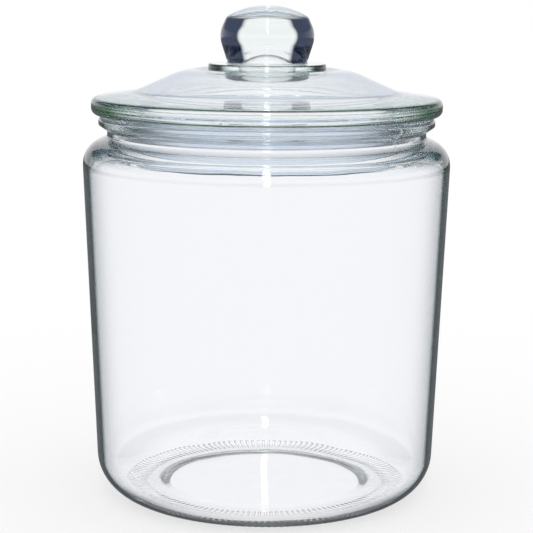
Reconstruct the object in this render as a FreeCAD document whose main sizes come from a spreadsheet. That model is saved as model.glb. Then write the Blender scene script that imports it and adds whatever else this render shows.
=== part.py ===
import FreeCAD, Part
import math
import os
import Sketcher

# A clear glass canister: a jar, a lid with a ball knob, and a soft ring that seals the two.
# The jar stands on z = 0 and all three pieces share the z axis. Sizes are in millimetres.

# Sizes that can be set by themselves
SIZES = {
    # mouth of the jar
    "bore_radius": 61.0,
    "neck_wall": 4.1,
    "neck_height": 2.5,
    "neck_root_round": 1.0,
    "neck_top_round": 0.8,
    "neck_in_round": 4.0,
    "bead_reach": 3.55,
    "bead_height": 2.8,
    "bead_slope": 2.4,
    "bead_low_round": 0.8,
    "bead_top_round": 1.2,
    "mouth_round": 1.8,
    # body of the jar
    "jar_height": 156.4,
    "jar_wall": 2.7,
    "shoulder_reach": 10.25,
    "shoulder_drop": 4.75,
    "shoulder_wall": 3.1,
    "shoulder_round": 10.7,
    "wall_taper": 5.9,
    "heel_round": 17.5,
    "base_thickness": 4.0,
    "kick_height": 1.5,
    "kick_radius": 40.0,
    "kick_step": 4.0,
    "kick_round": 3.0,
    # soft ring between jar and lid
    "seat_gap": 0.05,
    "seal_gap": 0.1,
    "seal_wall": 1.1,
    "sleeve_depth": 9.4,
    "sleeve_round": 0.4,
    "flange_thickness": 1.2,
    "flange_back": 0.45,
    "flange_round": 0.4,
    "fin_gap": 0.3,
    "fin_reach": 1.9,
    "fin_thickness": 0.9,
    "fin_tip": 0.5,
    "fin_lift": 0.6,
    "fin_foot": 0.5,
    "fin_pitch": 2.4,
    "fin_count": 3,
    # brim and plug of the lid
    "rim_reach": 2.9,
    "rim_height": 6.65,
    "rim_round": 2.5,
    "rim_low_round": 2.6,
    "brim_rise": 2.4,
    "brim_round": 15.0,
    "plug_depth": 10.2,
    "plug_wall": 4.4,
    "plug_round": 1.5,
    "plug_root_round": 0.8,
    # dome of the lid
    "dome_height": 18.5,
    "dome_wall": 4.4,
    "dome_in_round": 4.0,
    "flank_lap": 1.0,
    "crown_reach": 9.1,
    "crown_round": 32.0,
    "disc_reach": 8.0,
    "disc_height": 2.0,
    "disc_round": 0.8,
    # knob of the lid, and the round-ended hollow that the pressing plunger leaves in it
    "knob_height": 23.5,
    "knob_foot_radius": 16.05,
    "knob_foot_round": 0.8,
    "belly_reach": 3.75,
    "belly_height": 11.65,
    "belly_round": 10.6,
    "knob_edge_back": 3.1,
    "knob_edge_height": 18.8,
    "knob_edge_round": 3.0,
    "cavity_radius": 11.6,
    "cavity_height": 9.7,
    "cavity_mouth_round": 3.0,
}

# Sizes and places that follow from those above. Heights on the lid and on the ring are
# measured from the underside of the brim, which lies at seat_level.
FITS = {
    "neck_radius": "bore_radius + neck_wall",
    "bead_radius": "neck_radius + bead_reach",
    "bead_low": "jar_height - bead_height",
    "neck_top": "bead_low - bead_slope",
    "neck_root": "neck_top - neck_height",
    "shoulder_radius": "neck_radius + shoulder_reach",
    "shoulder_level": "neck_root - shoulder_drop",
    "shoulder_in_round": "shoulder_round - jar_wall",
    "foot_radius": "shoulder_radius - wall_taper",
    "heel_in_round": "heel_round - base_thickness",
    "ring_inner": "kick_radius + kick_step",
    "inside_radius": "shoulder_radius - jar_wall",
    "inside_top": "shoulder_level - shoulder_wall",
    "neck_in": "inside_top + shoulder_drop",
    "floor_radius": "foot_radius - jar_wall",
    "seat_level": "jar_height + flange_thickness + 2 * seat_gap",
    "fin_tip_radius": "bore_radius - fin_gap",
    "sleeve_radius": "fin_tip_radius - fin_reach",
    "fin_root_radius": "sleeve_radius - seal_wall / 2",
    "seal_bore": "sleeve_radius - seal_wall",
    "flange_radius": "bead_radius - flange_back",
    "flange_top": "-seat_gap",
    "flange_low": "flange_top - flange_thickness",
    "sleeve_bottom": "-sleeve_depth",
    "fin_low": "sleeve_bottom + fin_foot",
    "fin_high": "fin_low + fin_thickness",
    "fin_tip_low": "fin_low + fin_lift",
    "fin_tip_high": "fin_tip_low + fin_tip",
    "fin_span": "fin_pitch * (fin_count - 1)",
    "plug_radius": "seal_bore - seal_gap",
    "plug_bottom": "-plug_depth",
    "plug_in_radius": "plug_radius - plug_wall",
    "rim_radius": "bead_radius + rim_reach",
    "brim_in_radius": "plug_in_radius + flank_lap",
    "brim_in_level": "rim_height + brim_rise",
    "flank_in_level": "brim_in_level - dome_wall",
    "disc_radius": "knob_foot_radius + disc_reach",
    "disc_level": "dome_height + disc_height",
    "crown_radius": "disc_radius + crown_reach",
    "crown_in_radius": "crown_radius - flank_lap",
    "crown_in_level": "dome_height - dome_wall",
    "crown_in_round": "crown_round - dome_wall",
    "belly_radius": "knob_foot_radius + belly_reach",
    "belly_level": "disc_level + belly_height",
    "knob_edge_radius": "belly_radius - knob_edge_back",
    "knob_edge_level": "disc_level + knob_edge_height",
    "knob_top": "disc_level + knob_height",
    "cavity_top": "disc_level + cavity_height",
    "cavity_edge_level": "cavity_top - cavity_radius",
}

# Words used in an outline besides the sizes' names: a place on the z axis, a height of zero,
# a corner with no rounding, and an end of the outline that meets the axis as a dome
AXIS = "axis"
ZERO = "zero"
SHARP = "sharp"
DOME = "dome"

# How a sketch numbers its own axes and origin, and the ends and centre of a curve in it
LEVEL_AXIS, UPRIGHT_AXIS = range(-1, -3, -1)
START, END, CENTRE = range(1, 4)
ORIGIN = (LEVEL_AXIS, START)

# How near an edge has to lie to the ring that is looked for
EDGE_MATCH = 1e-4

doc = FreeCAD.newDocument("canister")
sheet = doc.addObject("Spreadsheet::Sheet", "sizes")


def fill_sheet():
    """Writes every size and fit as a row of the sheet: its name, then its value under that name."""
    rows = list(SIZES.items())
    rows += [(name, "=" + formula) for name, formula in FITS.items()]
    for row, (name, content) in enumerate(rows, start=1):
        sheet.set(f"A{row}", name)
        sheet.set(f"B{row}", str(content))
        sheet.setAlias(f"B{row}", name)
    doc.recompute()


def size(name):
    """The present value of a named size."""
    if name in (AXIS, ZERO):
        return 0.0
    return float(sheet.get(name))


def tie(item, place, name):
    """Binds one property of an object to a named size."""
    item.setExpression(place, f"sizes.{name}")


def pin(sketch, curve, spot, across, up):
    """Ties one point of a sketch to its named distance from the axis and its named height."""
    for kind, name, axis in (("DistanceX", across, UPRIGHT_AXIS), ("DistanceY", up, LEVEL_AXIS)):
        if name in (AXIS, ZERO):
            sketch.addConstraint(Sketcher.Constraint("PointOnObject", curve, spot, axis))
            continue
        length = size(name)
        ends = (*ORIGIN, curve, spot) if length > 0 else (curve, spot, *ORIGIN)
        number = sketch.addConstraint(Sketcher.Constraint(kind, *ends, abs(length)))
        sign = "" if length > 0 else "-"
        sketch.setExpression(f"Constraints[{number}]", f"{sign}sizes.{name}")


def rounded_ends(spots, corners):
    """For each corner, the points where its rounding leaves the two straight runs beside it."""
    ends = []
    for i, (_, _, rounding) in enumerate(corners):
        if rounding in (SHARP, DOME):
            ends.append((spots[i], spots[i]))
            continue
        back = (spots[i - 1] - spots[i]).normalize()
        ahead = (spots[(i + 1) % len(spots)] - spots[i]).normalize()
        run = size(rounding) / math.tan(back.getAngle(ahead) / 2)
        ends.append((spots[i] + back * run, spots[i] + ahead * run))
    return ends


def add_run(sketch, begin, finish):
    """A straight run of an outline: its number, and the names of its two ends."""
    return sketch.addGeometry(Part.LineSegment(begin, finish)), START, END


def add_dome(sketch, begin, finish):
    """A run from or to the axis, as an arc about the axis: its number, and its two ends."""
    edge, top = (begin, finish) if begin.x > finish.x else (finish, begin)
    rise = top.y - edge.y
    radius = (edge.x**2 + rise**2) / (2 * rise)
    centre = FreeCAD.Vector(0, top.y - radius, 0)
    first = math.atan2(edge.y - centre.y, edge.x)
    circle = Part.Circle(centre, FreeCAD.Vector(0, 0, 1), radius)
    curve = sketch.addGeometry(Part.ArcOfCircle(circle, first, math.pi / 2))
    sketch.addConstraint(Sketcher.Constraint("PointOnObject", curve, CENTRE, UPRIGHT_AXIS))
    return (curve, START, END) if edge is begin else (curve, END, START)


def add_rounding(sketch, corner, spot, ends, before, after):
    """Rounds one corner between two straight runs, and pins the corner that they would meet in."""
    across, up, rounding = corner
    radius = size(rounding)
    back, ahead = ends[0] - spot, ends[1] - spot
    middle = (back + ahead).normalize()
    centre = spot + middle * math.hypot(radius, back.Length)
    turns_left = ahead.cross(back).z > 0
    first, last = ends if turns_left else ends[::-1]
    angles = [math.atan2(end.y - centre.y, end.x - centre.x) for end in (first, last)]
    circle = Part.Circle(centre, FreeCAD.Vector(0, 0, 1), radius)
    curve = sketch.addGeometry(Part.ArcOfCircle(circle, *angles))
    joins = (START, END) if turns_left else (END, START)
    sketch.addConstraint(Sketcher.Constraint("Tangent", before[0], before[2], curve, joins[0]))
    sketch.addConstraint(Sketcher.Constraint("Tangent", curve, joins[1], after[0], after[1]))
    number = sketch.addConstraint(Sketcher.Constraint("Radius", curve, radius))
    tie(sketch, f"Constraints[{number}]", rounding)
    point = sketch.addGeometry(Part.Point(spot), True)
    for run in (before, after):
        sketch.addConstraint(Sketcher.Constraint("PointOnObject", point, START, run[0]))
    pin(sketch, point, START, across, up)


def draw_outline(sketch, corners):
    """Draws a closed outline through corners of (distance from the axis, height, rounding)."""
    spots = [FreeCAD.Vector(size(across), size(up), 0) for across, up, _ in corners]
    ends = rounded_ends(spots, corners)
    runs = []
    for i, (across, _, rounding) in enumerate(corners):
        following = (i + 1) % len(corners)
        next_across, _, next_rounding = corners[following]
        domed = DOME in (rounding, next_rounding) and across != next_across
        add = add_dome if domed else add_run
        runs.append(add(sketch, ends[i][1], ends[following][0]))
    for i, (across, up, rounding) in enumerate(corners):
        before, after = runs[i - 1], runs[i]
        if rounding in (SHARP, DOME):
            meeting = (before[0], before[2], after[0], after[1])
            sketch.addConstraint(Sketcher.Constraint("Coincident", *meeting))
            pin(sketch, after[0], after[1], across, up)
        else:
            add_rounding(sketch, corners[i], spots[i], ends[i], before, after)


def add_body(label):
    """An empty body for one sub-part."""
    body = doc.addObject("PartDesign::Body", label)
    body.Label = label
    return body


def origin_feature(body, role):
    """One of a body's own origin planes or axes."""
    return next(item for item in body.Origin.OriginFeatures if item.Role == role)


def turn(body, name, corners):
    """Turns an outline about the z axis and adds it to the body."""
    sketch = body.newObject("Sketcher::SketchObject", name + "_outline")
    sketch.AttachmentSupport = (origin_feature(body, "XZ_Plane"), [""])
    sketch.MapMode = "FlatFace"
    draw_outline(sketch, corners)
    feature = body.newObject("PartDesign::Revolution", name)
    feature.Profile = sketch
    feature.ReferenceAxis = (sketch, ["V_Axis"])
    feature.Angle = 360
    doc.recompute()
    return feature


def ring_edges(shape, radius, level):
    """The names of a shape's round edges of one radius at one height about the z axis."""
    names = []
    for number, edge in enumerate(shape.Edges, start=1):
        if edge.Degenerated or not isinstance(edge.Curve, Part.Circle):
            continue
        gaps = (edge.Curve.Radius - radius, edge.Curve.Center.z - level)
        if max(abs(gap) for gap in gaps) < EDGE_MATCH:
            names.append(f"Edge{number}")
    return names


def make_jar():
    """The jar: bearing ring, heel, tapered wall, shoulder, neck and bead, with its inside."""
    body = add_body("jar")
    corners = [
        (AXIS, "kick_height", SHARP),
        ("kick_radius", "kick_height", "kick_round"),
        ("ring_inner", ZERO, SHARP),
        ("foot_radius", ZERO, "heel_round"),
        ("shoulder_radius", "shoulder_level", "shoulder_round"),
        ("neck_radius", "neck_root", "neck_root_round"),
        ("neck_radius", "neck_top", "neck_top_round"),
        ("bead_radius", "bead_low", "bead_low_round"),
        ("bead_radius", "jar_height", "bead_top_round"),
        ("bore_radius", "jar_height", "mouth_round"),
        ("bore_radius", "neck_in", "neck_in_round"),
        ("inside_radius", "inside_top", "shoulder_in_round"),
        ("floor_radius", "base_thickness", "heel_in_round"),
        (AXIS, "base_thickness", SHARP),
    ]
    turn(body, "jar_glass", corners)
    return body


def make_seal_ring():
    """The soft ring: a flange under the brim, a sleeve round the plug and fins in the bore."""
    body = add_body("seal_ring")
    tie(body, "Placement.Base.z", "seat_level")
    corners = [
        ("seal_bore", "flange_top", "plug_root_round"),
        ("flange_radius", "flange_top", "flange_round"),
        ("flange_radius", "flange_low", "flange_round"),
        ("sleeve_radius", "flange_low", "sleeve_round"),
        ("sleeve_radius", "sleeve_bottom", SHARP),
        ("seal_bore", "sleeve_bottom", SHARP),
    ]
    turn(body, "sleeve", corners)
    fin_corners = [
        ("fin_root_radius", "fin_low", SHARP),
        ("fin_tip_radius", "fin_tip_low", SHARP),
        ("fin_tip_radius", "fin_tip_high", SHARP),
        ("fin_root_radius", "fin_high", SHARP),
    ]
    fin = turn(body, "fin", fin_corners)
    fins = body.newObject("PartDesign::LinearPattern", "fins")
    fins.Originals = [fin]
    fins.Direction = (origin_feature(body, "Z_Axis"), [""])
    tie(fins, "Length", "fin_span")
    tie(fins, "Occurrences", "fin_count")
    body.Tip = fins
    doc.recompute()
    return body


def make_lid():
    """The lid: knob with its hollow, disc, dome, brim and the plug that centres it in the bore."""
    body = add_body("lid")
    tie(body, "Placement.Base.z", "seat_level")
    corners = [
        (AXIS, "knob_top", DOME),
        ("knob_edge_radius", "knob_edge_level", SHARP),
        ("belly_radius", "belly_level", "belly_round"),
        ("knob_foot_radius", "disc_level", "knob_foot_round"),
        ("disc_radius", "disc_level", "disc_round"),
        ("disc_radius", "dome_height", SHARP),
        ("crown_radius", "dome_height", "crown_round"),
        ("brim_in_radius", "brim_in_level", "brim_round"),
        ("rim_radius", "rim_height", "rim_round"),
        ("rim_radius", ZERO, "rim_low_round"),
        ("plug_radius", ZERO, "plug_root_round"),
        ("plug_radius", "plug_bottom", "plug_round"),
        ("plug_in_radius", "plug_bottom", "plug_round"),
        ("plug_in_radius", "flank_in_level", "dome_in_round"),
        ("crown_in_radius", "crown_in_level", "crown_in_round"),
        ("cavity_radius", "crown_in_level", "cavity_mouth_round"),
        ("cavity_radius", "cavity_edge_level", SHARP),
        (AXIS, "cavity_top", DOME),
    ]
    glass = turn(body, "lid_glass", corners)
    rounding = body.newObject("PartDesign::Fillet", "knob_edge")
    edges = ring_edges(glass.Shape, size("knob_edge_radius"), size("knob_edge_level"))
    rounding.Base = (glass, edges)
    tie(rounding, "Radius", "knob_edge_round")
    doc.recompute()
    return body


def check(bodies):
    """Stops before anything is written if a feature failed or a sub-part has no sound solid."""
    for item in doc.Objects:
        faults = {"Invalid", "Error"} & set(item.State)
        if faults:
            raise RuntimeError(f"{item.Name} is {', '.join(faults)}: {item.getStatusString()}")
    for body in bodies:
        if body.Shape.isNull() or not body.Shape.isValid() or len(body.Shape.Solids) != 1:
            raise RuntimeError(f"{body.Label} is not one sound solid")


def write(bodies):
    """Writes each sub-part under its own name."""
    os.makedirs("parts", exist_ok=True)
    for body in bodies:
        body.Shape.exportStep(f"parts/{body.Label}.step")


fill_sheet()
pieces = [make_jar(), make_seal_ring(), make_lid()]
doc.recompute()
check(pieces)
write(pieces)
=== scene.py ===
import math

import bpy
from mathutils import Matrix, Vector


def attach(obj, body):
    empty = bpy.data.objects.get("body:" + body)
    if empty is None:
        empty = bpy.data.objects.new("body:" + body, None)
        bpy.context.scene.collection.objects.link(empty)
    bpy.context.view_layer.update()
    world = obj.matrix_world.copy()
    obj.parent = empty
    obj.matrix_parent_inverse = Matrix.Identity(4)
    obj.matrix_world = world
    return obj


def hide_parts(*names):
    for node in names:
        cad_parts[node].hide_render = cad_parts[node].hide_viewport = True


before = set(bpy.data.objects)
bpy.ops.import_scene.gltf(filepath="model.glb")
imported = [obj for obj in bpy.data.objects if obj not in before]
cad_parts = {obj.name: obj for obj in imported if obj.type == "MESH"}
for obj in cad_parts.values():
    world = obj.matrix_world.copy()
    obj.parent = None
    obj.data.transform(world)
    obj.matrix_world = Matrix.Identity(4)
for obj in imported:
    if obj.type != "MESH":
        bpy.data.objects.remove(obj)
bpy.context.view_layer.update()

bl_info = {
    "name": "Glass Canister",
    "version": (1, 0, 0),
    "blender": (4, 5, 0),
    "location": "View3D > Sidebar > Canister",
    "description": "Dresses a lidded glass canister in moulded glass and a clear soft ring",
    "category": "Object",
}

MM = 0.001

# An outline's curves are drawn in steps of this turn, and its straight runs in steps of this length
ARC_STEP = math.radians(5)
RUN_STEP = 3 * MM
# Points nearer than this are one point
MERGE = 1e-6
# Edges sharper than this stay crisp in the shading
CRISP = math.radians(35)

# How far a face has to look away from the axis, or up, to be picked for shaping
SEAM_OUTWARD = 0.3
INSIDE_OUTWARD = -0.3
INSIDE_UPWARD = 0.5
FOOT_UPWARD = -0.8

# How far a face looks away from the axis where a painted shade starts and where it is full. From
# within the glass a face counts as looking the other way, so OUTSIDE and WALL keep a painted shade
# to faces seen from outside. NOT_WALL keeps it off the upright wall.
JAR_OUTSIDE = (0.05, 0.35)
JAR_WALL = (0.3, 0.7)
JAR_NOT_WALL = (0.98, 0.85)
LID_OUTSIDE = (0.02, 0.3)
LID_WALL = (0.5, 0.9)
LID_NOT_WALL = (0.92, 0.72)

# Sockets of a Mix node that mixes two colours
MIX_SHARE = 0
MIX_FIRST = 6
MIX_SECOND = 7
MIX_RESULT = 2


def linear(code):
    """A colour written as an sRGB hex code, in linear light."""
    channels = [int(code[i:i + 2], 16) / 255 for i in (1, 3, 5)]
    return tuple(c / 12.92 if c <= 0.04045 else ((c + 0.055) / 1.055) ** 2.4 for c in channels)


def length(name, description, millimetres):
    """A size in the sidebar, given in millimetres."""
    return bpy.props.FloatProperty(
        name=name, description=description, default=millimetres * MM, subtype="DISTANCE",
        unit="LENGTH", precision=5)


def angle(name, description, degrees):
    """An angle in the sidebar, given in degrees."""
    return bpy.props.FloatProperty(
        name=name, description=description, default=math.radians(degrees), subtype="ANGLE",
        unit="ROTATION")


def colour(name, description, code):
    """A colour in the sidebar, given as an sRGB hex code."""
    return bpy.props.FloatVectorProperty(
        name=name, description=description, default=linear(code), subtype="COLOR", min=0, max=1)


def number(name, description, default):
    """A plain number in the sidebar."""
    return bpy.props.FloatProperty(name=name, description=description, default=default)


def pair(name, description, default):
    """Two numbers from 0 to 1 in the sidebar, such as where a tint starts and where it is full."""
    return bpy.props.FloatVectorProperty(
        name=name, description=description, default=default, size=2, min=0, max=1)


def whole(name, description, default):
    """A count in the sidebar."""
    return bpy.props.IntProperty(name=name, description=description, default=default, min=1)


class CanisterJarSizes(bpy.types.PropertyGroup):
    """Sizes of the glass jar."""

    height: length("Height", "Floor to the top of the bead", 156.4)
    bore: length("Bore", "Radius of the mouth", 61.0)
    mouth_round: length("Mouth rounding", "Rounding of the mouth's edge", 1.8)
    bead: length("Bead", "Radius of the bead", 68.65)
    bead_height: length("Bead height", "Height of the bead's upright side", 2.8)
    bead_slope: length("Bead slope", "Height of the bead's sloping underside", 2.4)
    bead_top_round: length("Bead top rounding", "Rounding of the bead's upper edge", 1.2)
    bead_low_round: length("Bead low rounding", "Rounding of the bead's lower edge", 0.8)
    neck: length("Neck", "Outer radius of the neck", 65.1)
    neck_height: length("Neck height", "Upright part of the neck", 2.5)
    neck_top_round: length("Neck top rounding", "Hollow rounding under the bead", 0.8)
    neck_root_round: length("Neck root rounding", "Hollow rounding above the shoulder", 1.0)
    neck_in_round: length("Neck inner rounding", "Rounding of the bore's lower edge", 4.0)
    shoulder: length("Shoulder", "Radius at the corner that the shoulder rounds", 75.35)
    shoulder_drop: length("Shoulder drop", "Fall of the shoulder from neck to corner", 4.75)
    shoulder_round: length("Shoulder rounding", "Outer rounding of the shoulder", 10.7)
    shoulder_wall: length("Shoulder wall", "Thickness of the shoulder", 3.1)
    taper: length("Taper", "How much narrower the wall is at the foot", 5.9)
    wall: length("Wall", "Thickness of the wall", 2.7)
    heel_round: length("Heel rounding", "Outer rounding of the heel", 17.5)
    base: length("Base", "Height of the inner floor", 4.0)
    kick: length("Kick", "Height of the recess under the base", 1.5)
    kick_radius: length("Kick radius", "Radius of the recess under the base", 40.0)
    kick_step: length("Kick step", "Width of the recess's sloping side", 4.0)
    kick_round: length("Kick rounding", "Rounding of the recess's corner", 3.0)
    knurl_begin: length("Knurl begin", "Radius from which the bars under the foot go", 50.0)
    knurl_reach: length("Knurl reach", "Radius to which the bars under the foot go", 60.5)
    knurl_depth: length("Knurl depth", "Depth of the gaps between the bars under the foot", 0.6)
    knurl_slope: length("Knurl slope", "Width of the slope at the side of a bar", 0.2)
    seam: angle("Seam", "Bearing of the mould's joint, to the right of the front", 50)
    seam_height: length("Seam height", "Height of the line that the mould's joint leaves", 0.12)
    seam_slope: length("Seam slope", "Width of that line's slope", 0.45)
    ripple_height: length("Ripple height", "Unevenness of the inner face", 0.3)
    ripple_length: length("Ripple length", "Distance over which the inner face is uneven", 35)
    ripple_fade: whole("Ripple fade", "Rows of faces over which the unevenness fades out", 8)
    steps: whole("Steps", "Steps round the axis", 288)


class CanisterLidSizes(bpy.types.PropertyGroup):
    """Sizes of the glass lid. Heights are measured from the underside of the brim."""

    seat: length("Seat", "Height of the brim's underside above the floor", 157.7)
    rim: length("Rim", "Radius of the brim", 71.55)
    rim_height: length("Rim height", "Height of the brim's outer edge", 6.65)
    rim_round: length("Rim rounding", "Rounding of the brim's upper edge", 2.5)
    rim_low_round: length("Rim low rounding", "Rounding of the brim's lower edge", 2.6)
    brim_rise: length("Brim rise", "Rise of the brim towards the dome", 2.4)
    brim_round: length("Brim rounding", "Hollow rounding from brim to dome", 15.0)
    plug: length("Plug", "Outer radius of the plug", 57.6)
    plug_depth: length("Plug depth", "Depth of the plug below the brim", 10.2)
    plug_wall: length("Plug wall", "Thickness of the plug", 4.4)
    plug_round: length("Plug rounding", "Rounding of the plug's lower edges", 1.5)
    plug_root_round: length("Plug root rounding", "Hollow rounding above the plug", 0.8)
    dome: length("Dome", "Height of the dome", 18.5)
    dome_wall: length("Dome wall", "Thickness of the dome", 4.4)
    dome_in_round: length("Dome inner rounding", "Rounding inside, above the plug", 4.0)
    flank_lap: length("Flank lap", "Distance of the inner from the outer flank", 1.0)
    crown: length("Crown", "Radius of the corner that the dome rounds", 33.15)
    crown_round: length("Crown rounding", "Rounding of the dome", 32.0)
    disc: length("Disc", "Radius of the disc under the knob", 24.05)
    disc_height: length("Disc height", "Thickness of the disc", 2.0)
    disc_round: length("Disc rounding", "Rounding of the disc's edge", 0.8)
    knob_foot: length("Knob foot", "Radius of the knob where it meets the disc", 16.05)
    knob_foot_round: length("Knob foot rounding", "Hollow rounding round the knob's foot", 0.8)
    belly: length("Belly", "Radius of the corner that the knob's belly rounds", 19.8)
    belly_height: length("Belly height", "Height of that corner above the disc", 11.65)
    belly_round: length("Belly rounding", "Rounding of the knob's belly", 10.6)
    knob_edge: length("Knob edge", "Radius of the edge of the knob's cap", 16.7)
    knob_edge_height: length("Knob edge height", "Height of that edge above the disc", 18.8)
    knob_edge_round: length("Knob edge rounding", "Rounding of the cap's edge", 3.0)
    knob_height: length("Knob height", "Height of the knob above the disc", 23.5)
    cavity: length("Cavity", "Radius of the hollow in the knob", 11.6)
    cavity_height: length("Cavity height", "Top of the hollow above the disc", 9.7)
    cavity_round: length("Cavity rounding", "Rounding of the hollow's mouth", 3.0)
    seam: angle("Seam", "Bearing of the mould's joint, to the right of the front", -12.7)
    seam_height: length("Seam height", "Height of the line that the mould's joint leaves", 0.12)
    seam_slope: length("Seam slope", "Width of that line's slope", 0.45)
    steps: whole("Steps", "Steps round the axis", 288)


class CanisterRingSizes(bpy.types.PropertyGroup):
    """Sizes of the soft ring. Heights are measured from the underside of the brim."""

    bore: length("Bore", "Inner radius of the sleeve", 57.7)
    wall: length("Wall", "Thickness of the sleeve", 1.1)
    depth: length("Depth", "Depth of the sleeve below the brim", 9.4)
    root_round: length("Root rounding", "Inner rounding below the brim", 0.8)
    sleeve_round: length("Sleeve rounding", "Hollow rounding below the flange", 0.4)
    gap: length("Gap", "Space between brim and flange", 0.05)
    flange: length("Flange", "Outer radius of the flange", 68.2)
    flange_thickness: length("Flange thickness", "Thickness of the flange", 1.2)
    flange_round: length("Flange rounding", "Rounding of the flange's edges", 0.4)
    fin: length("Fin", "Radius of the fins' tips", 60.7)
    fin_thickness: length("Fin thickness", "Thickness of a fin at its root", 0.9)
    fin_tip: length("Fin tip", "Thickness of a fin at its tip", 0.5)
    fin_lift: length("Fin lift", "Rise of a fin towards its tip", 0.6)
    fin_foot: length("Fin foot", "Height of the lowest fin above the sleeve's end", 0.5)
    fin_pitch: length("Fin pitch", "Distance between fins", 2.4)
    fins: whole("Fins", "Number of fins", 3)
    steps: whole("Steps", "Steps round the axis", 288)


class CanisterLook(bpy.types.PropertyGroup):
    """Colours and finish of the glass and of the soft ring.

    A slant goes from 0 for a face seen square on to 1 for a face seen edge on. The edge colours of
    the glass are painted shade: they darken it where it is seen aslant, as a dim room around it would.
    """

    glass: colour("Glass", "Colour of the glass surface", "#ffffff")
    glass_ior: number("Glass IOR", "Refraction of soda-lime glass", 1.52)
    depth_colour: colour("Depth colour", "Colour that thick glass turns", "#c4e6d0")
    density: number("Density", "How quickly glass takes colour, per metre", 5.0)
    # Painted shade: slate on the heel and shoulder where they are seen aslant
    body_painted_shade: colour("Body edge", "Tint of the jar's heel and shoulder seen aslant", "#566b70")
    body_slant: pair("Body slant", "Slants at which that tint starts and is full", (0.45, 0.85))
    # Painted shade: darker slate on the rounded shoulder seen aslant
    shoulder_painted_shade: colour("Shoulder edge", "Tint of the rounded shoulder seen aslant", "#3a4a50")
    shoulder_slant: pair("Shoulder slant", "Slants at which that tint starts and is full", (0.25, 0.75))
    # Painted shade: near-black lines along the jar's wall where it is seen edge on
    jar_painted_shade: colour("Jar edge", "Tint of the jar's wall seen edge on", "#070f11")
    jar_slant: pair("Jar slant", "Slants at which that tint starts and is full", (0.69, 0.76))
    # Painted shade: grey on the dome and the brim where they are seen edge on
    dome_painted_shade: colour("Dome edge", "Tint of the dome and the brim seen edge on", "#909fb3")
    dome_slant: pair("Dome slant", "Slants at which that tint starts and is full", (0.4, 0.9))
    # Painted shade: dark green on the lid's upright sides seen edge on
    lid_painted_shade: colour("Lid edge", "Tint of the lid's upright sides seen edge on", "#1f3a26")
    lid_slant: pair("Lid slant", "Slants at which that tint starts and is full", (0.15, 0.6))
    # Painted shade: a dark line round the brim's rounded edges
    rim_painted_shade: colour("Rim edge", "Tint of the rounded edges of the brim", "#0e1c14")
    rim_shade_line: length("Rim line", "Distance of that tint from the brim's outside", 0.9)
    # Painted shade: a dark line on the side of the disc under the knob
    disc_painted_shade: colour("Disc edge", "Tint of the disc's side seen edge on", "#040a08")
    disc_slant: pair("Disc slant", "Slants at which that tint starts and is full", (0.22, 0.42))
    # Painted shade: the dark sides of the knob
    knob_edge: colour("Knob edge", "Tint of the knob's sides", "#0b0f1e")
    knob_slant: pair("Knob slant", "Slants at which that tint starts and is full", (0.17, 0.25))
    # Painted shade: grey in the hollow of the knob seen edge on
    hollow_painted_shade: colour("Hollow edge", "Tint of the hollow in the knob seen edge on", "#3c444c")
    hollow_slant: pair("Hollow slant", "Slants at which that tint starts and is full", (0.3, 0.8))
    ring: colour("Ring", "Colour of the soft ring", "#dbe8f8")
    ring_milk: colour("Ring milk", "Colour of the milky streaks in the soft ring", "#f0f5fc")
    ring_ior: number("Ring IOR", "Refraction of the soft ring", 1.43)
    ring_roughness: pair("Ring roughness", "Least and greatest haze of the soft ring", (0.06, 0.24))
    ring_clear: number("Ring clearness", "Share of light that goes straight through the ring", 0.98)
    streak: length("Streak", "Length of the streaks in the soft ring", 12)
    streak_aspect: number("Streak aspect", "How much longer than high the streaks are", 6.0)
    streak_detail: number("Streak detail", "Layers of finer streaks within the streaks", 3.0)


class CanisterStage(bpy.types.PropertyGroup):
    """Camera, floor and light."""

    distance: length("Distance", "From the axis to the camera", 701.3)
    height: length("Height", "Height of the camera", 212.8)
    sideways: length("Sideways", "Shift of the camera from the axis", 0.3)
    pitch: angle("Pitch", "How far the camera looks down", 9.585)
    roll: angle("Roll", "Turn of the camera about its own axis", 0.41)
    sensor: bpy.props.FloatProperty(
        name="Sensor", description="Width of the camera's sensor", default=36, unit="CAMERA")
    lens: bpy.props.FloatProperty(
        name="Lens", description="Focal length of the camera", default=115.72, unit="CAMERA")
    floor: colour("Floor", "Colour of the floor", "#f4f4f4")
    floor_radius: length("Floor radius", "Radius of the floor", 3000)
    floor_sides: whole("Floor sides", "Number of sides of the floor", 96)
    backdrop: colour("Backdrop", "Colour of the bright backdrop", "#ffffff")
    surround: colour("Surround", "Colour of the dim room beside the backdrop", "#566a88")
    half_width: angle("Half width", "Half the angle that the backdrop fills", 26)
    softness: angle("Softness", "Angle over which the backdrop's edge fades", 4)
    panel: colour("Panel", "Colour of the backdrop as glass shows it", "#fbfbff")
    band_low: pair("Band low", "Sines of height at which the dim band starts and is full", (0.12, 0.22))
    band_high: pair("Band high", "Sines of height at which it is gone and still full", (0.8, 0.5))
    mirrored: number("Mirrored", "Strength of the floor where glass mirrors it", 0.2)
    shadow_core: length("Shadow core", "Radius within which the floor's shadow is full", 112.5)
    shadow: length("Shadow", "Radius at which the floor's shadow is gone", 450)
    wash: number("Wash", "How much plain white lies over the floor near the object", 0.65)
    lamp_distance: length("Lamp distance", "From the axis to the strip lamp", 1000)
    lamp_low: length("Lamp low", "Height of the strip lamp's lower end", 420)
    lamp_height: length("Lamp height", "Height of the strip lamp itself", 1200)
    lamp_width: length("Lamp width", "Width of the strip lamp", 90)
    lamp_power: bpy.props.FloatProperty(
        name="Lamp power", description="Power of the strip lamp", default=3.5, unit="POWER")
    bounces: whole("Bounces", "How often light is followed from face to face in the glass", 40)


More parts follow.
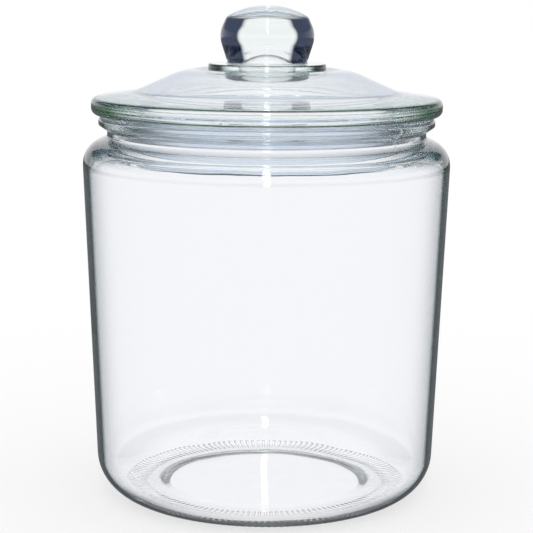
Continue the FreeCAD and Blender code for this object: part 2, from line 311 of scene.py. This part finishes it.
def add_node(tree, kind, settings=None, links=None):
    """Adds a node, sets its properties and inputs, and links other nodes to its inputs.

    An input is named as in the node, or by its number where names are shared.
    """
    node = tree.nodes.new(kind)
    for name, value in (settings or {}).items():
        if isinstance(name, str) and hasattr(node, name):
            setattr(node, name, value)
        else:
            node.inputs[name].default_value = value
    for name, source in (links or {}).items():
        tree.links.new(source, node.inputs[name])
    return node


def new_material(name):
    """An empty node material and its output node."""
    material = bpy.data.materials.new(name)
    material.use_nodes = True
    tree = material.node_tree
    tree.nodes.clear()
    return material, tree, add_node(tree, "ShaderNodeOutputMaterial")


def arc_points(centre, radius, first, last):
    """Points along an arc in the plane of the outline, without its first one."""
    steps = max(1, math.ceil(abs(last - first) / ARC_STEP))
    turns = [first + (last - first) * i / steps for i in range(1, steps + 1)]
    return [centre + Vector((math.cos(t), math.sin(t))) * radius for t in turns]


def dome_points(top, edge):
    """Points of a dome about the axis, from its top to just before its edge."""
    rise = top.y - edge.y
    radius = (edge.x ** 2 + rise ** 2) / (2 * rise)
    centre = Vector((0, top.y - radius))
    last = math.atan2(edge.y - centre.y, edge.x)
    return [top] + arc_points(centre, radius, math.pi / 2, last)[:-1]


def rounded(corners):
    """Points of an outline given as corners of (radius, height, rounding). Its ends stay sharp."""
    spots = [Vector(corner[:2]) for corner in corners]
    points = [spots[0]]
    for i in range(1, len(spots)):
        spot, rounding = spots[i], corners[i][2]
        if not rounding:
            points.append(spot)
            continue
        back = (spots[i - 1] - spot).normalized()
        ahead = (spots[i + 1] - spot).normalized()
        half = back.angle(ahead) / 2
        begin = spot + back * (rounding / math.tan(half))
        centre = spot + (back + ahead).normalized() * (rounding / math.sin(half))
        first = math.atan2(begin.y - centre.y, begin.x - centre.x)
        turn = math.copysign(math.pi - 2 * half, back.x * ahead.y - back.y * ahead.x)
        points.append(begin)
        points += arc_points(centre, rounding, first, first - turn)
    return points


def stepped(points):
    """The same outline with its long runs divided."""
    result = [points[0]]
    for begin, finish in zip(points, points[1:]):
        steps = max(1, math.ceil((finish - begin).length / RUN_STEP))
        result += [begin.lerp(finish, i / steps) for i in range(1, steps + 1)]
    return result


def draw_outline(name, points):
    """Starts a piece from one point and extrudes it along the outline, in the plane of X and Z."""
    bpy.ops.object.select_all(action="DESELECT")
    bpy.ops.mesh.primitive_plane_add(size=MM, location=(0, 0, 0))
    piece = bpy.context.object
    piece.name = name
    piece.data.name = name
    bpy.ops.object.mode_set(mode="EDIT")
    bpy.ops.mesh.select_mode(type="VERT")
    bpy.ops.mesh.select_all(action="SELECT")
    bpy.ops.mesh.merge(type="CENTER")
    place = Vector((0, 0))
    for i, point in enumerate(points):
        move = {"value": (point.x - place.x, 0, point.y - place.y)}
        if i:
            bpy.ops.mesh.extrude_region_move(TRANSFORM_OT_translate=move)
        else:
            bpy.ops.transform.translate(**move)
        place = point
    return piece


def turn_outline(piece, steps):
    """Turns the outline once about the axis and closes it to a solid."""
    bpy.ops.object.mode_set(mode="OBJECT")
    bpy.ops.object.modifier_add(type="SCREW")
    screw = piece.modifiers[-1]
    screw.steps = screw.render_steps = steps
    screw.use_merge_vertices = True
    screw.merge_threshold = MERGE
    bpy.ops.object.modifier_apply(modifier=screw.name)
    bpy.ops.object.mode_set(mode="EDIT")
    bpy.ops.mesh.select_all(action="SELECT")
    bpy.ops.mesh.remove_doubles(threshold=MERGE)
    bpy.ops.mesh.normals_make_consistent(inside=False)


def select_faces(piece, wanted):
    """Selects the faces whose centre and normal are wanted, ready for editing."""
    bpy.ops.object.mode_set(mode="EDIT")
    bpy.ops.mesh.select_mode(type="FACE")
    bpy.ops.mesh.select_all(action="DESELECT")
    bpy.ops.object.mode_set(mode="OBJECT")
    for face in piece.data.polygons:
        face.select = wanted(face.center, face.normal)
    if not any(face.select for face in piece.data.polygons):
        raise RuntimeError("no face found on " + piece.name)
    bpy.ops.object.mode_set(mode="EDIT")


def outward(centre, normal):
    """How far a face looks away from the axis, from -1 to 1."""
    return normal.dot(Vector((centre.x, centre.y, 0)).normalized())


def raise_seam(piece, sizes, low, high, radius):
    """Raises the two fine lines that the halves of a mould leave outside, between two heights."""
    half = math.pi / sizes.steps

    def wanted(centre, normal):
        bearing = math.atan2(centre.x, -centre.y) - sizes.seam
        aside = abs((bearing + math.pi / 2) % math.pi - math.pi / 2)
        return (aside <= half and low < centre.z < high and outward(centre, normal) > SEAM_OUTWARD
                and math.hypot(centre.x, centre.y) > radius)

    select_faces(piece, wanted)
    bpy.ops.mesh.inset(thickness=sizes.seam_slope)
    bpy.ops.transform.shrink_fatten(value=sizes.seam_height)


def ripple(piece, sizes, wanted):
    """Makes the wanted faces slightly uneven, as glass that cooled without touching metal."""
    select_faces(piece, wanted)
    bpy.ops.object.vertex_group_add()
    bpy.ops.object.vertex_group_assign()
    bpy.ops.mesh.select_all(action="SELECT")
    bpy.ops.object.vertex_group_smooth(repeat=sizes.ripple_fade)
    bpy.ops.object.mode_set(mode="OBJECT")
    texture = bpy.data.textures.new(piece.name + "_ripple", type="CLOUDS")
    texture.noise_scale = sizes.ripple_length
    bpy.ops.object.modifier_add(type="DISPLACE")
    displace = piece.modifiers[-1]
    displace.texture = texture
    displace.texture_coords = "LOCAL"
    displace.vertex_group = piece.vertex_groups[-1].name
    displace.strength = sizes.ripple_height
    bpy.ops.object.modifier_apply(modifier=displace.name)
    bpy.ops.object.vertex_group_remove(all=True)


def finish_piece(piece, material, body, node):
    """Shades a piece, gives it its material and lets it ride on its body in place of the node."""
    bpy.ops.object.mode_set(mode="OBJECT")
    bpy.ops.object.shade_smooth_by_angle(angle=CRISP)
    piece.data.materials.clear()
    piece.data.materials.append(material)
    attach(piece, body)
    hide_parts(node)


def glass_material(name, look, painted_shades):
    """Soda-lime glass, fire-polished: clear face on, with shade painted where it is seen edge on.

    A painted shade is a colour and the measures that bring it in, each with where it starts and is
    full.
    It darkens both what the glass lets through and what it mirrors, in place of the dim room that
    glass would show at its edges.
    """
    material, tree, output = new_material(name)
    place = add_node(tree, "ShaderNodeTexCoord")
    # The place without its height points away from the axis
    level = add_node(tree, "ShaderNodeVectorMath", {"operation": "MULTIPLY", 1: (1, 1, 0)},
                     {0: place.outputs["Object"]})
    away = add_node(tree, "ShaderNodeVectorMath", {"operation": "NORMALIZE"}, {0: level.outputs[0]})
    turn = add_node(tree, "ShaderNodeVectorMath", {"operation": "DOT_PRODUCT"},
                    {0: away.outputs[0], 1: place.outputs["Normal"]})
    reach = add_node(tree, "ShaderNodeVectorMath", {"operation": "LENGTH"}, {0: level.outputs[0]})
    parts = add_node(tree, "ShaderNodeSeparateXYZ", {}, {"Vector": place.outputs["Object"]})
    measures = {
        "slant": add_node(tree, "ShaderNodeLayerWeight").outputs["Facing"],
        "outward": turn.outputs["Value"],
        "radius": reach.outputs["Value"],
        "height": parts.outputs["Z"],
    }
    # Each painted shade is mixed over the glass colour wherever its measures bring it in
    tone = None
    for shade, *ranges in painted_shades:
        mix = add_node(tree, "ShaderNodeMix", {
            "data_type": "RGBA", MIX_FIRST: (*look.glass, 1), MIX_SECOND: (*shade, 1)})
        if tone is not None:
            tree.links.new(tone, mix.inputs[MIX_FIRST])
        share = None
        for measure, (begin, full) in ranges:
            step = add_node(tree, "ShaderNodeMapRange", {
                "interpolation_type": "SMOOTHSTEP", "From Min": begin, "From Max": full},
                {"Value": measures[measure]}).outputs[0]
            share = step if share is None else add_node(
                tree, "ShaderNodeMath", {"operation": "MULTIPLY"}, {0: share, 1: step}).outputs[0]
        tree.links.new(share, mix.inputs[MIX_SHARE])
        tone = mix.outputs[MIX_RESULT]
    # The painted shade goes into the base colour and into the tint of the reflections
    shader = add_node(tree, "ShaderNodeBsdfPrincipled", {
        "Roughness": 0.0, "IOR": look.glass_ior, "Transmission Weight": 1.0},
        {"Base Color": tone, "Specular Tint": tone})
    depth = add_node(tree, "ShaderNodeVolumeAbsorption", {
        "Color": (*look.depth_colour, 1), "Density": look.density})
    tree.links.new(shader.outputs[0], output.inputs["Surface"])
    tree.links.new(depth.outputs[0], output.inputs["Volume"])
    return material


def ring_material(name, look):
    """Clear soft polymer, moulded: see-through and slightly hazy, with faint milky streaks.

    The streaks come from its flow in the mould. They are drawn coarse enough to show.
    """
    material, tree, output = new_material(name)
    place = add_node(tree, "ShaderNodeTexCoord").outputs["Object"]
    flow = add_node(tree, "ShaderNodeMapping", {"Scale": (1, 1, look.streak_aspect)},
                    {"Vector": place})
    streak = add_node(tree, "ShaderNodeTexNoise", {
        "Scale": 1 / look.streak, "Detail": look.streak_detail}, {"Vector": flow.outputs[0]})
    tone = add_node(tree, "ShaderNodeMix", {
        "data_type": "RGBA", MIX_FIRST: (*look.ring, 1), MIX_SECOND: (*look.ring_milk, 1)},
        {MIX_SHARE: streak.outputs[0]})
    least, most = look.ring_roughness
    haze = add_node(tree, "ShaderNodeMapRange", {"To Min": least, "To Max": most},
                    {"Value": streak.outputs[0]})
    shader = add_node(tree, "ShaderNodeBsdfPrincipled", {
        "IOR": look.ring_ior, "Transmission Weight": look.ring_clear},
        {"Base Color": tone.outputs[MIX_RESULT], "Roughness": haze.outputs[0]})
    tree.links.new(shader.outputs[0], output.inputs["Surface"])
    return material


class CANISTER_OT_jar(bpy.types.Operator):
    """Model the glass jar"""

    bl_idname = "canister.jar"
    bl_label = "Jar"

    def execute(self, context):
        sizes = context.scene.canister_jar
        bead_low = sizes.height - sizes.bead_height
        neck_top = bead_low - sizes.bead_slope
        neck_root = neck_top - sizes.neck_height
        shoulder_level = neck_root - sizes.shoulder_drop
        inside_top = shoulder_level - sizes.shoulder_wall
        foot = sizes.shoulder - sizes.taper
        corners = [
            (0, sizes.kick, 0),
            (sizes.kick_radius, sizes.kick, sizes.kick_round),
            (sizes.kick_radius + sizes.kick_step, 0, 0),
            (foot, 0, sizes.heel_round),
            (sizes.shoulder, shoulder_level, sizes.shoulder_round),
            (sizes.neck, neck_root, sizes.neck_root_round),
            (sizes.neck, neck_top, sizes.neck_top_round),
            (sizes.bead, bead_low, sizes.bead_low_round),
            (sizes.bead, sizes.height, sizes.bead_top_round),
            (sizes.bore, sizes.height, sizes.mouth_round),
            (sizes.bore, inside_top + sizes.shoulder_drop, sizes.neck_in_round),
            (sizes.shoulder - sizes.wall, inside_top, sizes.shoulder_round - sizes.wall),
            (foot - sizes.wall, sizes.base, sizes.heel_round - sizes.base),
            (0, sizes.base, 0),
        ]
        jar = draw_outline("jar_glass", stepped(rounded(corners)))
        turn_outline(jar, sizes.steps)
        ripple(jar, sizes, lambda centre, normal: sizes.kick < centre.z < inside_top and (
            outward(centre, normal) < INSIDE_OUTWARD or normal.z > INSIDE_UPWARD))
        self.knurl(jar, sizes)
        raise_seam(jar, sizes, neck_root, sizes.height, sizes.bore + sizes.mouth_round)
        look = context.scene.canister_look
        # Painted shade: colours that darken the jar where it is seen aslant, at heel, shoulder and wall
        painted_shades = [
            (look.body_painted_shade, ("slant", look.body_slant), ("outward", JAR_OUTSIDE)),
            (look.shoulder_painted_shade, ("slant", look.shoulder_slant), ("radius", (sizes.neck, sizes.bead)),
             ("outward", JAR_OUTSIDE), ("outward", JAR_NOT_WALL)),
            (look.jar_painted_shade, ("slant", look.jar_slant), ("outward", JAR_WALL)),
        ]
        glass = glass_material("soda_lime_glass_jar", look, painted_shades)
        finish_piece(jar, glass, "jar", "jar")
        return {"FINISHED"}

    def knurl(self, jar, sizes):
        """Presses fine bars into the ring that the jar stands on."""
        step = math.tau / sizes.steps

        def wanted(centre, normal):
            sector = int(math.atan2(centre.y, centre.x) % math.tau / step)
            radius = math.hypot(centre.x, centre.y)
            return (sector % 2 == 0 and normal.z < FOOT_UPWARD
                    and sizes.knurl_begin < radius < sizes.knurl_reach)

        select_faces(jar, wanted)
        bpy.ops.mesh.inset(thickness=sizes.knurl_slope)
        bpy.ops.transform.translate(value=(0, 0, sizes.knurl_depth))


class CANISTER_OT_lid(bpy.types.Operator):
    """Model the glass lid with its knob"""

    bl_idname = "canister.lid"
    bl_label = "Lid"

    def execute(self, context):
        sizes = context.scene.canister_lid
        crown = sizes.seat + sizes.dome
        disc = crown + sizes.disc_height
        brim = sizes.seat + sizes.rim_height + sizes.brim_rise
        plug_low = sizes.seat - sizes.plug_depth
        plug_in = sizes.plug - sizes.plug_wall
        crown_in = crown - sizes.dome_wall
        cavity_top = disc + sizes.cavity_height
        cap_edge = Vector((sizes.knob_edge, disc + sizes.knob_edge_height))
        cap = dome_points(Vector((0, disc + sizes.knob_height)), cap_edge)
        cavity_edge = Vector((sizes.cavity, cavity_top - sizes.cavity))
        hollow = dome_points(Vector((0, cavity_top)), cavity_edge)
        corners = [(*point, 0) for point in cap]
        corners += [
            (*cap_edge, sizes.knob_edge_round),
            (sizes.belly, disc + sizes.belly_height, sizes.belly_round),
            (sizes.knob_foot, disc, sizes.knob_foot_round),
            (sizes.disc, disc, sizes.disc_round),
            (sizes.disc, crown, 0),
            (sizes.crown, crown, sizes.crown_round),
            (plug_in + sizes.flank_lap, brim, sizes.brim_round),
            (sizes.rim, sizes.seat + sizes.rim_height, sizes.rim_round),
            (sizes.rim, sizes.seat, sizes.rim_low_round),
            (sizes.plug, sizes.seat, sizes.plug_root_round),
            (sizes.plug, plug_low, sizes.plug_round),
            (plug_in, plug_low, sizes.plug_round),
            (plug_in, brim - sizes.dome_wall, sizes.dome_in_round),
            (sizes.crown - sizes.flank_lap, crown_in, sizes.crown_round - sizes.dome_wall),
            (sizes.cavity, crown_in, sizes.cavity_round),
            (*cavity_edge, 0),
        ]
        corners += [(*point, 0) for point in reversed(hollow)]
        lid = draw_outline("lid_glass", stepped(rounded(corners)))
        turn_outline(lid, sizes.steps)
        raise_seam(lid, sizes, sizes.seat, brim, sizes.rim - sizes.rim_round)
        look = context.scene.canister_look
        # Painted shade: colours that darken the lid where it is seen aslant, on dome, sides, brim, disc
        # and knob
        painted_shades = [
            (look.dome_painted_shade, ("slant", look.dome_slant), ("outward", LID_OUTSIDE)),
            (look.lid_painted_shade, ("slant", look.lid_slant), ("outward", LID_WALL)),
            (look.rim_painted_shade, ("outward", LID_NOT_WALL), ("outward", LID_OUTSIDE),
             ("radius", (sizes.rim - look.rim_shade_line * 2, sizes.rim - look.rim_shade_line))),
            (look.disc_painted_shade, ("slant", look.disc_slant),
             ("radius", (sizes.disc - sizes.disc_round * 2, sizes.disc - sizes.disc_round)),
             ("height", (crown - sizes.disc_round / 2, crown)),
             ("height", (disc + sizes.disc_round / 2, disc))),
            # Painted shade on the knob's sides
            (look.knob_edge, ("slant", look.knob_slant), ("outward", LID_WALL),
             ("height", (disc, disc + sizes.knob_foot_round))),
            (look.hollow_painted_shade, ("slant", look.hollow_slant),
             ("radius", (sizes.knob_foot - sizes.knob_foot_round, sizes.cavity)),
             ("height", (disc + sizes.belly_height, cavity_top))),
        ]
        glass = glass_material("soda_lime_glass_lid", look, painted_shades)
        finish_piece(lid, glass, "lid", "lid")
        return {"FINISHED"}


class CANISTER_OT_ring(bpy.types.Operator):
    """Model the soft ring with its fins"""

    bl_idname = "canister.ring"
    bl_label = "Soft ring"

    def execute(self, context):
        sizes = context.scene.canister_ring
        seat = context.scene.canister_lid.seat
        sleeve = sizes.bore + sizes.wall
        top = seat - sizes.gap
        low = top - sizes.flange_thickness
        bottom = seat - sizes.depth
        corners = [
            (sizes.bore, (top + bottom) / 2, 0),
            (sizes.bore, top, sizes.root_round),
            (sizes.flange, top, sizes.flange_round),
            (sizes.flange, low, sizes.flange_round),
            (sleeve, low, sizes.sleeve_round),
        ]
        for i in reversed(range(sizes.fins)):
            root = bottom + sizes.fin_foot + i * sizes.fin_pitch
            corners += [
                (sleeve, root + sizes.fin_thickness, 0),
                (sizes.fin, root + sizes.fin_lift + sizes.fin_tip, 0),
                (sizes.fin, root + sizes.fin_lift, 0),
                (sleeve, root, 0),
            ]
        corners += [(sleeve, bottom, 0), (sizes.bore, bottom, 0), (sizes.bore, (top + bottom) / 2, 0)]
        ring = draw_outline("seal_ring_polymer", stepped(rounded(corners)))
        turn_outline(ring, sizes.steps)
        polymer = ring_material("clear_soft_polymer", context.scene.canister_look)
        finish_piece(ring, polymer, "seal_ring", "seal_ring")
        return {"FINISHED"}


class CANISTER_OT_stage(bpy.types.Operator):
    """Set up the camera, the floor and the light"""

    bl_idname = "canister.stage"
    bl_label = "Stage"

    def execute(self, context):
        stage = context.scene.canister_stage
        self.camera(context, stage)
        self.floor(stage)
        self.world(context, stage)
        self.lamp(stage)
        context.scene.view_settings.view_transform = "Standard"
        cycles = context.scene.cycles
        cycles.max_bounces = cycles.glossy_bounces = cycles.transmission_bounces = stage.bounces
        return {"FINISHED"}

    def camera(self, context, stage):
        """Puts the camera in front of the object, slightly above it."""
        bpy.ops.object.camera_add(location=(stage.sideways, -stage.distance, stage.height))
        camera = context.object
        camera.name = "camera"
        tilt = Matrix.Rotation(math.pi / 2 - stage.pitch, 3, "X")
        camera.rotation_euler = (tilt @ Matrix.Rotation(stage.roll, 3, "Z")).to_euler()
        camera.data.sensor_width = stage.sensor
        camera.data.lens = stage.lens
        context.scene.camera = camera

    def floor(self, stage):
        """Lays a floor of matt white paper, which shows shadow near the object and glows in glass."""
        bpy.ops.object.select_all(action="DESELECT")
        bpy.ops.mesh.primitive_circle_add(
            vertices=stage.floor_sides, radius=stage.floor_radius, fill_type="NGON")
        floor = bpy.context.object
        floor.name = "floor"
        material, tree, output = new_material("studio_floor")
        place = add_node(tree, "ShaderNodeTexCoord").outputs["Object"]
        reach = add_node(tree, "ShaderNodeVectorMath", {"operation": "LENGTH"}, {0: place})
        path = add_node(tree, "ShaderNodeLightPath")
        mirrored = add_node(tree, "ShaderNodeMapRange", {"To Min": 1.0, "To Max": stage.mirrored},
                            {"Value": path.outputs["Is Reflection Ray"]})
        seen = add_node(tree, "ShaderNodeEmission", {"Color": (*stage.panel, 1)},
                        {"Strength": mirrored.outputs[0]})
        paper = add_node(tree, "ShaderNodeBsdfDiffuse", {"Color": (*stage.floor, 1)})
        white = add_node(tree, "ShaderNodeEmission", {"Color": (*stage.backdrop, 1)})
        fade = add_node(tree, "ShaderNodeMapRange", {
            "interpolation_type": "SMOOTHSTEP", "From Min": stage.shadow_core, "From Max": stage.shadow,
            "To Min": stage.wash, "To Max": 1.0}, {"Value": reach.outputs["Value"]})
        washed = add_node(tree, "ShaderNodeMath", {"operation": "MULTIPLY"},
                          {0: fade.outputs[0], 1: path.outputs["Is Camera Ray"]})
        plain = add_node(tree, "ShaderNodeMixShader", {}, {
            "Fac": washed.outputs[0], 1: paper.outputs[0], 2: white.outputs[0]})
        final = add_node(tree, "ShaderNodeMixShader", {}, {
            "Fac": self.from_glass(tree), 1: plain.outputs[0], 2: seen.outputs[0]})
        tree.links.new(final.outputs[0], output.inputs["Surface"])
        floor.data.materials.append(material)

    def from_glass(self, tree):
        """Whether a ray has left glass: it has been bent or mirrored."""
        path = add_node(tree, "ShaderNodeLightPath").outputs
        either = add_node(tree, "ShaderNodeMath", {"operation": "MAXIMUM"},
                          {0: path["Is Glossy Ray"], 1: path["Is Transmission Ray"]})
        return either.outputs[0]

    def world(self, context, stage):
        """White, but glass also shows a dim band above the level of the eye, outside the backdrop."""
        world = bpy.data.worlds.new("studio")
        context.scene.world = world
        world.use_nodes = True
        tree = world.node_tree
        tree.nodes.clear()
        place = add_node(tree, "ShaderNodeTexCoord").outputs["Generated"]
        parts = add_node(tree, "ShaderNodeSeparateXYZ", {}, {"Vector": place})
        bearing = add_node(tree, "ShaderNodeMath", {"operation": "ARCTAN2"},
                           {0: parts.outputs["X"], 1: parts.outputs["Y"]})
        aside = add_node(tree, "ShaderNodeMath", {"operation": "ABSOLUTE"}, {0: bearing.outputs[0]})
        half_soft = stage.softness / 2
        ranges = [
            (aside.outputs[0], stage.half_width - half_soft, stage.half_width + half_soft),
            (parts.outputs["Z"], *stage.band_low),
            (parts.outputs["Z"], *stage.band_high),
        ]
        dim = None
        for measure, begin, full in ranges:
            step = add_node(tree, "ShaderNodeMapRange", {
                "interpolation_type": "SMOOTHSTEP", "From Min": begin, "From Max": full},
                {"Value": measure}).outputs[0]
            dim = step if dim is None else add_node(
                tree, "ShaderNodeMath", {"operation": "MINIMUM"}, {0: dim, 1: step}).outputs[0]
        shade = add_node(tree, "ShaderNodeMix", {
            "data_type": "RGBA", MIX_FIRST: (*stage.panel, 1), MIX_SECOND: (*stage.surround, 1)},
            {MIX_SHARE: dim})
        sky = add_node(tree, "ShaderNodeMix", {"data_type": "RGBA", MIX_FIRST: (*stage.backdrop, 1)},
                       {MIX_SHARE: self.from_glass(tree), MIX_SECOND: shade.outputs[MIX_RESULT]})
        back = add_node(tree, "ShaderNodeBackground", {}, {"Color": sky.outputs[MIX_RESULT]})
        add_node(tree, "ShaderNodeOutputWorld", {}, {"Surface": back.outputs[0]})

    def lamp(self, stage):
        """Hangs a strip lamp high behind the camera, for the streak of light down the front."""
        middle = stage.lamp_low + stage.lamp_height / 2
        bpy.ops.object.light_add(type="AREA", location=(0, -stage.lamp_distance, middle),
                                 rotation=(math.pi / 2, 0, 0))
        lamp = bpy.context.object
        lamp.name = "strip_lamp"
        lamp.data.shape = "RECTANGLE"
        lamp.data.size = stage.lamp_width
        lamp.data.size_y = stage.lamp_height
        lamp.data.energy = stage.lamp_power


class CANISTER_PT_panel(bpy.types.Panel):
    """The canister's pieces and stage"""

    bl_label = "Canister"
    bl_idname = "CANISTER_PT_panel"
    bl_space_type = "VIEW_3D"
    bl_region_type = "UI"
    bl_category = "Canister"

    def draw(self, context):
        for operator in OPERATORS:
            self.layout.operator(operator.bl_idname)


GROUPS = {
    "canister_jar": CanisterJarSizes,
    "canister_lid": CanisterLidSizes,
    "canister_ring": CanisterRingSizes,
    "canister_look": CanisterLook,
    "canister_stage": CanisterStage,
}
OPERATORS = (CANISTER_OT_jar, CANISTER_OT_ring, CANISTER_OT_lid, CANISTER_OT_stage)


def register():
    """Adds the sizes, the operators and the panel."""
    for name, group in GROUPS.items():
        bpy.utils.register_class(group)
        setattr(bpy.types.Scene, name, bpy.props.PointerProperty(type=group))
    for item in (*OPERATORS, CANISTER_PT_panel):
        bpy.utils.register_class(item)


def unregister():
    """Takes the panel, the operators and the sizes out again."""
    for item in (CANISTER_PT_panel, *reversed(OPERATORS)):
        bpy.utils.unregister_class(item)
    for name, group in reversed(GROUPS.items()):
        delattr(bpy.types.Scene, name)
        bpy.utils.unregister_class(group)


def main():
    register()
    bpy.ops.canister.jar()
    bpy.ops.canister.ring()
    bpy.ops.canister.lid()
    bpy.ops.canister.stage()


if __name__ == "__main__":
    main()
